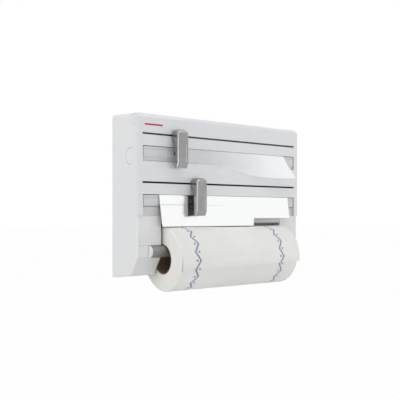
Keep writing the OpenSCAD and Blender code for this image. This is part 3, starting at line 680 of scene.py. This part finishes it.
def newPiece(name, shell, finish, body, stands=(), smoothAngle=35, second=None):
    # turns a bmesh into a piece that rides on a body and stands for some nodes
    mesh = bpy.data.meshes.new(name)
    shell.to_mesh(mesh)
    shell.free()
    mesh.materials.append(finishes[finish])
    if second:
        mesh.materials.append(finishes[second])
    mesh.shade_smooth()
    mesh.set_sharp_from_angle(angle=math.radians(smoothAngle))
    piece = bpy.data.objects.new(name, mesh)
    scene.collection.objects.link(piece)
    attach(piece, body)
    if stands:
        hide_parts(*stands)
    return piece


def evenShading(piece):
    # keeps wide flat faces flat beside their rounded edges
    weighted = piece.modifiers.new("even shading", "WEIGHTED_NORMAL")
    weighted.keep_sharp = True
    weighted.weight = 100


def nodeShell(node):
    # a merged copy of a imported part's mesh, its flat faces joined up
    shell = bmesh.new()
    shell.from_mesh(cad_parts[node].data)
    bmesh.ops.remove_doubles(shell, verts=shell.verts, dist=0.002 * mm)
    bmesh.ops.dissolve_limit(shell, angle_limit=math.radians(0.6), verts=shell.verts, edges=shell.edges)
    return shell


def sharpEdges(shell, keep=lambda middle, way: True):
    # edges over 30 degrees whose middle and direction the test accepts
    found = []
    for edge in shell.edges:
        if len(edge.link_faces) != 2 or edge.calc_face_angle(0.0) < math.radians(30):
            continue
        a, b = (vert.co for vert in edge.verts)
        if keep((a + b) / 2, (b - a).normalized()):
            found.append(edge)
    return found


def roundEdges(shell, edges, width, segments=3):
    bmesh.ops.bevel(shell, geom=edges, offset=width, offset_type="OFFSET", affect="EDGES", segments=segments,
                    profile=0.5, material=-1, clamp_overlap=True, loop_slide=True)


# rounding in mm and finish of the parts that keep their imported shape
# a part without a body of its own rides on the housing
mouldedParts = {
    "left_side_panel": {"round": 0.7, "finish": "housing white"},
    "right_side_panel": {"round": 0.7, "finish": "housing white"},
    "top_panel": {"round": 0.5, "finish": "housing white"},
    "back_panel": {"round": 0.5, "finish": "inner white"},
    # the recess wall's pale finish is painted light
    "recess_wall": {"round": 0.4, "finish": "recess painted light white"},
    # the apron's grey finish is painted shade
    "apron": {"round": 0.5, "finish": "apron painted shade grey"},
    "left_cheek": {"round": 0.35, "finish": "housing white"},
    "right_cheek": {"round": 0.35, "finish": "housing white"},
    "front_cover": {"round": 0.5, "finish": "cover white", "body": "cover", "slot": "cover_plastic"},
    "upper_press_bar": {"round": 0.5, "finish": "press bar white", "body": "cover", "slot": "cover_plastic"},
    "lower_press_bar": {"round": 0.5, "finish": "press bar white", "body": "cover", "slot": "cover_plastic"},
    "paper_rod": {"round": 0.3, "finish": "rod grey", "body": "rod", "slot": "rod_plastic"},
    "rod_caps": {"round": 0.9, "finish": "housing white", "body": "rod", "slot": "rod_plastic"},
    "paper_core": {"round": 0.3, "finish": "paper core card", "body": "paper", "slot": "cardboard"},
    "film_core": {"round": 0.3, "finish": "film core card", "body": "film", "slot": "cardboard"},
    "foil_core": {"round": 0.3, "finish": "foil core card", "body": "foil", "slot": "cardboard"},
    "film_trough": {"round": 0.4, "finish": "inner white"},
    "foil_trough": {"round": 0.4, "finish": "inner white"},
    "hinge_brackets": {"round": 0.3, "finish": "inner white"},
    "left_button_guide": {"round": 0.4, "finish": "inner white"},
    "right_button_guide": {"round": 0.4, "finish": "inner white"},
    "cover_catches": {"round": 0.3, "finish": "inner white", "body": "cover", "slot": "housing_plastic"},
    "upper_guide_rail": {"round": 0.3, "finish": "olive plastic", "body": "cover", "slot": "dark_plastic"},
    "lower_guide_rail": {"round": 0.3, "finish": "dark plastic", "body": "cover", "slot": "dark_plastic"},
}


coverLow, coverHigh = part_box("front_cover")
panelLow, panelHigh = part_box("left_side_panel")


def atCoverCorner(middle, way):
    # the upright edges where the cover's face turns into its side returns
    upright = abs(way.z) > 0.99 and middle.y < coverLow.y + 0.1 * mm
    return upright and abs(middle.x) > coverHigh.x - 0.1 * mm


def atLowerCorner(middle, way):
    # a side panel's outer edge along the lower front and the slope under it
    outer = abs(middle.x) > abs(panelLow.x) - 0.1 * mm
    return outer and abs(way.x) < 0.1 and middle.y < -55 * mm and middle.z < coverLow.z - 1 * mm


# wider rounding that comes before the rest
cornerRounding = {
    "front_cover": {"width": 2.0 * mm, "where": atCoverCorner},
    "left_side_panel": {"width": 2.6 * mm, "where": atLowerCorner},
    "right_side_panel": {"width": 2.6 * mm, "where": atLowerCorner},
}


# carries the cover's round upper corners back to the wall
topEdge = {"radius": 7 * mm, "hingeY": -72 * mm, "turns": (11, 27, 43, 59, 75),
           "nodes": ("left_side_panel", "right_side_panel", "top_panel")}


def roundTopEdge(shell, side):
    # cuts the outer top edge along planes set about its arc
    slope = (panelHigh.z - coverHigh.z) / -topEdge["hingeY"]
    upward = Vector((0, -slope, 1)).normalized()
    radius = topEdge["radius"]
    middle = Vector((side * (coverHigh.x - radius), topEdge["hingeY"], coverHigh.z - radius))
    for turn in topEdge["turns"]:
        way = Vector((side, 0, 0)) * math.cos(math.radians(turn)) + upward * math.sin(math.radians(turn))
        every = shell.verts[:] + shell.edges[:] + shell.faces[:]
        cut = bmesh.ops.bisect_plane(shell, geom=every, plane_co=middle + way * radius, plane_no=way,
                                     clear_outer=True)
        rim = [part for part in cut["geom_cut"] if isinstance(part, bmesh.types.BMEdge)]
        bmesh.ops.holes_fill(shell, edges=rim, sides=0)


def makeMouldedParts():
    for node, look in mouldedParts.items():
        shell = nodeShell(node)
        if node in topEdge["nodes"]:
            roundTopEdge(shell, -1)
            roundTopEdge(shell, 1)
        if node in cornerRounding:
            corner = cornerRounding[node]
            roundEdges(shell, sharpEdges(shell, corner["where"]), corner["width"], 5)
        roundEdges(shell, sharpEdges(shell), look["round"] * mm)
        body = look.get("body", "housing")
        piece = newPiece(node + "_moulding", shell, look["finish"], body, [node])
        evenShading(piece)


makeMouldedParts()
print("moulded parts rounded:", len(mouldedParts))


# coil springs behind the buttons, copied in steel as they stand; these copies don't shorten as a button goes
# in
springLook = {
    "left_button_spring": {"joint": "left_button_press", "fixedX": -163 * mm},
    "right_button_spring": {"joint": "right_button_press", "fixedX": 163 * mm},
}


def makeSprings():
    for node, look in springLook.items():
        piece = newPiece(node + "_coil", nodeShell(node), "steel", "housing", [node])
        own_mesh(piece)


makeSprings()
print("springs fitted:", len(springLook))


# Shapes made from rings and grids

def ringLoft(rings):
    # joins rings of points, each with as many points as the next, and closes both ends
    shell = bmesh.new()
    loops = [[shell.verts.new(point) for point in ring] for ring in rings]
    count = len(loops[0])
    for near, far in zip(loops, loops[1:]):
        for i in range(count):
            j = (i + 1) % count
            shell.faces.new((near[i], near[j], far[j], far[i]))
    shell.faces.new(loops[0])
    shell.faces.new(loops[-1])
    bmesh.ops.recalc_face_normals(shell, faces=shell.faces)
    return shell


def turnedShell(profile, axis, steps):
    # turns a closed profile of (along, radius) points about a line that runs along X
    shell = bmesh.new()
    loop = [shell.verts.new((along, axis.y, axis.z + radius)) for along, radius in profile]
    edges = [shell.edges.new((a, b)) for a, b in zip(loop, loop[1:] + loop[:1])]
    bmesh.ops.spin(shell, geom=loop + edges, cent=(0, axis.y, axis.z), axis=(1, 0, 0), angle=2 * math.pi,
                   steps=steps, use_merge=True, use_duplicate=False)
    bmesh.ops.remove_doubles(shell, verts=shell.verts, dist=0.005 * mm)
    bmesh.ops.recalc_face_normals(shell, faces=shell.faces)
    return shell


def smoothStep(low, high, value):
    share = min(max((value - low) / (high - low), 0.0), 1.0)
    return share * share * (3 - 2 * share)


def blend(pair, share):
    return pair[0] + (pair[1] - pair[0]) * share


# Cutters: a head at the slot and a leg that hangs in front of the sheet

gripLook = {
    "frontRound": 4.0 * mm,  # corners between the front and the sides
    "backRound": 1.8 * mm,
    "topRound": 9.0 * mm,  # seen from the side
    "crown": 7.0 * mm,  # seen from the front
    "toe": (4.0 * mm, 8.0 * mm),  # depth and height of the slope at the bottom
    "leg": 11.0 * mm,  # depth of the leg
    "head": 17.3 * mm,  # height of the head
    "fillet": 6.0 * mm,  # between head and leg
    "panelRim": 1.6 * mm,
    "panelSink": 0.35 * mm,
    "holder": (12.8 * mm, 5.0 * mm),  # width and height of the blade's holder
    "holderGap": 1.4 * mm,  # between the holder's end and the head's back
}


def cornerArc(cx, cy, radius, start, steps):
    # a quarter circle of points that begins at an angle in degrees
    points = []
    for i in range(steps + 1):
        turn = math.radians(start + 90 * i / steps)
        points.append((cx + radius * math.cos(turn), cy + radius * math.sin(turn)))
    return points


def gripSlice(middle, half, front, back, z):
    # one level of a grip, from its front left corner round to its back left corner
    rim = min(gripLook["frontRound"], half * 0.9)
    heel = min(gripLook["backRound"], half * 0.9)
    outline = cornerArc(middle - half + rim, front + rim, rim, 180, 8)
    outline += cornerArc(middle + half - rim, front + rim, rim, 270, 8)
    outline += cornerArc(middle + half - heel, back - heel, heel, 0, 4)
    outline += cornerArc(middle - half + heel, back - heel, heel, 90, 4)
    return [(x, y, z) for x, y in outline]


def gripLevels(low, high):
    # heights at which a grip's outline changes, from the toe to the top
    toeHeight = gripLook["toe"][1]
    headZ = high.z - gripLook["head"]
    fillet = gripLook["fillet"]
    levels = [low.z, low.z + toeHeight, headZ - fillet]
    levels += [headZ - fillet + fillet * math.sin(math.radians(a)) for a in range(15, 91, 15)]
    levels += [headZ + 0.02 * mm, high.z - gripLook["topRound"]]
    levels += [high.z - gripLook["topRound"] * (1 - math.sin(math.radians(a))) for a in range(6, 91, 6)]
    return levels


def roundInset(radius, depth):
    # how far a rounded corner stands back at a depth behind its front
    if depth >= radius:
        return 0.0
    return radius - math.sqrt(radius * radius - (radius - depth) ** 2)


def makeGrip(name, body):
    low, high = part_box(name)
    middle = (low.x + high.x) / 2
    toeDepth, toeHeight = gripLook["toe"]
    legBack = low.y + gripLook["leg"]
    headZ = high.z - gripLook["head"]
    rings = []
    for z in gripLevels(low, high):
        half = (high.x - low.x) / 2 - roundInset(gripLook["crown"], high.z - z)
        front = low.y + roundInset(gripLook["topRound"], high.z - z)
        front += toeDepth * max(0.0, 1 - (z - low.z) / toeHeight)
        back = high.y if z > headZ else legBack + roundInset(gripLook["fillet"], headZ - z)
        rings.append(gripSlice(middle, half, front, back, z))
    shell = ringLoft(rings)
    panel = max((f for f in shell.faces if f.normal.y < -0.999), key=lambda f: f.calc_area())
    bmesh.ops.inset_region(shell, faces=[panel], thickness=gripLook["panelRim"], depth=0.0)
    bmesh.ops.inset_region(shell, faces=[panel], thickness=0.3 * mm, depth=-gripLook["panelSink"])
    for face in shell.faces:
        if face.normal.y > 0.9:
            face.material_index = 1
    addHolder(shell, name, legBack, high.y - gripLook["holderGap"])
    bmesh.ops.recalc_face_normals(shell, faces=shell.faces)
    piece = newPiece(name + "_lacquered", shell, "silver plastic", body, [name], 40,
                     second="dark plastic")
    evenShading(piece)


def addHolder(shell, grip, legBack, end):
    # dark block on the leg that carries the blade
    width, height = gripLook["holder"]
    blade = boxMiddle(grip.replace("grip", "blade"))
    bite = 0.5 * mm
    made = bmesh.ops.create_cube(shell, size=1.0)
    bmesh.ops.scale(shell, verts=made["verts"], vec=(width, end - legBack + bite, height))
    bmesh.ops.translate(shell, verts=made["verts"], vec=(blade.x, (end + legBack - bite) / 2, blade.z))
    for face in {f for vert in made["verts"] for f in vert.link_faces}:
        face.material_index = 1


makeGrip("upper_cutter_grip", "upper_cutter")
makeGrip("lower_cutter_grip", "lower_cutter")


# Side releases: a dished button on a stem

buttonLook = {
    "round": 0.8 * mm,
    "dish": ((2.0 * mm, 0.0), (2.5 * mm, -0.35 * mm), (3.0 * mm, -0.2 * mm)),  # width and depth of each step
}


def makeButton(node, side):
    # side is -1 at the left and 1 at the right
    shell = nodeShell(node)
    roundEdges(shell, sharpEdges(shell), buttonLook["round"])
    low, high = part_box(node)
    rim = low.x if side < 0 else high.x
    facing = [face for face in shell.faces if face.normal.x * side > 0.99]
    cap = [face for face in facing if abs(face.calc_center_median().x - rim) < 0.1 * mm]
    for width, depth in buttonLook["dish"]:
        bmesh.ops.inset_region(shell, faces=cap, thickness=width, depth=depth)
    piece = newPiece(node + "_dished", shell, "housing white", node, [node], 40)
    evenShading(piece)


makeButton("left_button", -1)
makeButton("right_button", 1)


# Plain red stripe near the cover's upper left corner

stripeLook = {
    "from": (-163 * mm, 109.9 * mm),  # its lower left corner
    "size": (34 * mm, 2.6 * mm),
    "thick": 0.3 * mm,
    "round": 1.2 * mm,
}


def makeStripe():
    left, lower = stripeLook["from"]
    length, height = stripeLook["size"]
    thick = stripeLook["thick"]
    shell = bmesh.new()
    bmesh.ops.create_cube(shell, size=1.0)
    bmesh.ops.scale(shell, verts=shell.verts, vec=(length, thick, height))
    place = (left + length / 2, coverLow.y - thick / 2, lower + height / 2)
    bmesh.ops.translate(shell, verts=shell.verts, vec=place)
    ends = [e for e in shell.edges if abs((e.verts[0].co - e.verts[1].co).normalized().y) > 0.9]
    roundEdges(shell, ends, stripeLook["round"], 5)
    newPiece("red_stripe", shell, "stripe red", "cover")


makeStripe()
print("cutters, buttons and stripe made")


# Wound rolls: a soft outer corner and layers that stand unevenly at the ends

# lengths in mm
rollLook = {
    "paper_roll": {"finish": "paper", "corner": 3.0, "layers": 16, "uneven": 0.35, "dent": 0.35,
                   "bulge": 4.4, "steps": 120, "body": "paper", "slot": "paper"},
    "film_roll": {"finish": "wound film", "corner": 0.5, "layers": 9, "uneven": 0.12, "dent": 0.05,
                  "bulge": 0.0, "steps": 80, "body": "film", "slot": "film"},
    "foil_roll": {"finish": "foil", "corner": 0.5, "layers": 9, "uneven": 0.18, "dent": 0.1, "bulge": 0.0,
                  "steps": 80, "body": "foil", "slot": "foil"},
}
rollBulge = {"at": -22, "wide": 22}  # degrees, 0 at the back and 90 at the top


def rollEnd(face, inward, inner, outer, look):
    # profile of one end from the core out to the side
    points = []
    corner = look["corner"] * mm
    for i in range(look["layers"] + 1):
        radius = inner + (outer - corner - inner) * i / look["layers"]
        lift = look["uneven"] * mm * (0.5 + 0.5 * noise.noise(Vector((i * 0.83, face * 40, 0.37))))
        points.append((face + inward * lift, radius))
    for i in range(1, 7):
        turn = math.radians(90 * i / 6)
        along = face + inward * corner * (1 - math.cos(turn))
        points.append((along, outer - corner + corner * math.sin(turn)))
    return points


def makeRoll(node, coreNode):
    look = rollLook[node]
    low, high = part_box(node)
    axis = boxMiddle(node)
    outer = (high.z - low.z) / 2
    coreLow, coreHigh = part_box(coreNode)
    inner = (coreHigh.z - coreLow.z) / 2
    left = rollEnd(low.x, 1, inner, outer, look)
    right = rollEnd(high.x, -1, inner, outer, look)
    between = [(low.x + (high.x - low.x) * i / 12, outer) for i in range(1, 12)]
    shell = turnedShell(left + between + right[::-1], axis, look["steps"])
    for vert in shell.verts:
        out = Vector((0, vert.co.y - axis.y, vert.co.z - axis.z))
        loose = smoothStep(inner, outer, out.length)
        wave = noise.noise(Vector((vert.co.x * 9, out.y * 28, out.z * 28))) - 0.5
        away = math.degrees(math.atan2(out.z, out.y)) - rollBulge["at"]
        bulge = look["bulge"] * math.exp(-((away / rollBulge["wide"]) ** 2))
        vert.co += out.normalized() * loose * (wave * look["dent"] + bulge) * mm
    newPiece(node + "_wound", shell, look["finish"], look["body"], [node], 50)


makeRoll("paper_roll", "paper_core")
makeRoll("film_roll", "film_core")
makeRoll("foil_roll", "foil_core")


# Sheets: a grid laid out by a rule, then given its thickness

def sheetShell(columns, rows, place, thick):
    shell = bmesh.new()
    bmesh.ops.create_grid(shell, x_segments=columns, y_segments=rows, size=0.5)
    for vert in shell.verts:
        vert.co = place(vert.co.x + 0.5, vert.co.y + 0.5)
    bmesh.ops.remove_doubles(shell, verts=shell.verts, dist=0.01 * mm)
    bmesh.ops.dissolve_degenerate(shell, dist=0.005 * mm, edges=shell.edges)
    bmesh.ops.recalc_face_normals(shell, faces=shell.faces)
    bmesh.ops.solidify(shell, geom=shell.faces[:], thickness=thick)
    bmesh.ops.recalc_face_normals(shell, faces=shell.faces)
    return shell


tailLook = {
    "start": 84.0,  # degrees about the roll, 90 at the top and 180 at the front
    "end": (197.0, 191.5),  # at the left and right edges
    "gap": 0.25 * mm,  # over the roll
    "lift": 3.0 * mm,
    "liftFrom": 0.80,  # share of its length at which the free edge starts to lift
    "thick": 0.22 * mm,
}


def makeTail():
    low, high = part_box("paper_tail")

    def place(across, along):
        x = low.x + (high.x - low.x) * across
        end = blend(tailLook["end"], across)
        turn = math.radians(tailLook["start"] + (end - tailLook["start"]) * along)
        wave = 0.6 + 0.5 * noise.noise(Vector((x * 14, along * 2, 3.1)))
        lift = tailLook["gap"] + tailLook["lift"] * wave * smoothStep(tailLook["liftFrom"], 1.0, along)
        radius = paperRadius + lift
        return Vector((x, paperAxis.y + radius * math.cos(turn), paperAxis.z + radius * math.sin(turn)))

    shell = sheetShell(60, 44, place, tailLook["thick"])
    piece = newPiece("paper_tail_loose", shell, "paper", "paper", ["paper_tail"], 60)


makeTail()


def overSlit(along, foldZ, backY, frontY, bend):
    # a sheet's way from its inner end forward, round the bend and then some length down
    straight = backY - frontY - bend
    quarter = bend * math.pi / 2
    if along < straight:
        return backY - along, foldZ, 0.0
    if along < straight + quarter:
        turn = (along - straight) / bend
        return frontY + bend - bend * math.sin(turn), foldZ - bend + bend * math.cos(turn), 0.0
    return frontY, foldZ - bend, along - straight - quarter


foilLook = {
    "sides": (-136 * mm, 149 * mm),
    "shortFrom": 59 * mm,  # right of this the foil is torn off shorter
    "hang": (51.2 * mm, 37.8 * mm),  # long and short part
    "lean": (9 * mm, 7 * mm),  # how far the free edge stands forward at the left and right
    "leanPower": 1.2,
    "behindWidth": 34 * mm,  # round the cutter the foil is held back
    "heldBack": (0.92, 0.8),  # shares of the lean and the crumple that go there
    "overPaper": 0.55 * mm,
    "crease": 17 * mm,
    "kink": 0.5 * mm,
    "crumple": (0.35 * mm, 1.3 * mm),  # all over, and added at the right edge
    "bend": 0.6 * mm,
    "thick": 0.06 * mm,
}
sheetRows = 56


def slitStart(node):
    # height of a sheet's fold, its front plane and its inner end
    low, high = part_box(node)
    return high.z - 0.2 * mm, low.y + 0.1 * mm, high.y


def makeFilm():
    foldZ, frontY, backY = slitStart("film_sheet")
    left, right = filmLook["sides"]
    start = backY - frontY

    def place(across, along):
        x = left + (right - left) * across
        curl = smoothStep(filmLook["curlFrom"], 1.0, across)
        hang = blend(filmLook["hang"], smoothStep(filmLook["hangFrom"], 1.0, across))
        y, z, down = overSlit(along * (start + hang), foldZ, backY, frontY, filmLook["bend"])
        share = down / hang
        lean = blend(filmLook["lean"], curl)
        ripple = filmLook["ripple"] * noise.noise(Vector((x * 11, down * 16, 1.7))) * share
        forward = lean * share ** filmLook["curlPower"] + abs(ripple)
        aside = filmLook["spread"] * curl * share
        drop = math.sqrt(max(down * down - (lean * share) ** 2 - aside ** 2, 0.0))
        return Vector((x + aside, y - forward, z - drop))

    shell = sheetShell(100, sheetRows, place, filmLook["thick"])
    piece = newPiece("film_sheet_hanging", shell, "film", "cover", ["film_sheet"], 60)
    piece.visible_shadow = False  # clear film hardly shades what is behind it
    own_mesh(piece)


def makeFoil():
    foldZ, frontY, backY = slitStart("foil_sheet")
    left, right = foilLook["sides"]
    longer, shorter = foilLook["hang"]
    leanHeld, crumpleHeld = foilLook["heldBack"]
    allOver, atEdge = foilLook["crumple"]
    start = backY - frontY
    cutter = boxMiddle("lower_cutter_grip").x
    stepAt = (foilLook["shortFrom"] - left) / (right - left)
    overRoll = paperRadius + foilLook["overPaper"]
    paperTop = paperAxis.z + math.sqrt(overRoll ** 2 - (frontY - paperAxis.y) ** 2)

    def place(across, along):
        x = left + (right - left) * across
        limit = start + (longer if across <= stepAt else shorter)
        length = min(along * (start + longer), limit)
        y, z, down = overSlit(length, foldZ, backY, frontY, foilLook["bend"])
        share = down / longer
        lean = blend(foilLook["lean"], across)
        behind = math.exp(-((x - cutter) / foilLook["behindWidth"]) ** 2)
        drop = math.sqrt(max(down * down - (lean * share) ** 2, 0.0))
        lean *= 1 - leanHeld * behind
        kink = smoothStep(0.0, 1.0, down / foilLook["crease"] - 0.5)
        rough = allOver + atEdge * smoothStep(0.90, 1.0, across)
        crumple = rough * noise.noise(Vector((x * 26, down * 34, 0.9))) * min(1.0, share * 3)
        crumple *= 1 - crumpleHeld * behind
        forward = lean * share ** foilLook["leanPower"] + foilLook["kink"] * kink + abs(crumple)
        return Vector((x, y - forward, max(z - drop, paperTop)))

    shell = sheetShell(140, sheetRows, place, foilLook["thick"])
    piece = newPiece("foil_sheet_hanging", shell, "foil", "cover", ["foil_sheet"], 60)
    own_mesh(piece)


makeFilm()
makeFoil()
print("rolls and sheets made")


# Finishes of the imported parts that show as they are
plainNodes = {
    "dark plastic": ["upper_cutter_carriage", "lower_cutter_carriage"],
    "steel": ["bracket_screws", "trough_screws", "rail_screws", "hinge_pins", "upper_cutter_blade",
              "lower_cutter_blade"],
}


def dressPlainNodes():
    for finish, nodes in plainNodes.items():
        for node in nodes:
            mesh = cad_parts[node].data
            mesh.materials.clear()
            mesh.materials.append(finishes[finish])


dressPlainNodes()
print("plain parts dressed")

scene.view_settings.view_transform = "Standard"
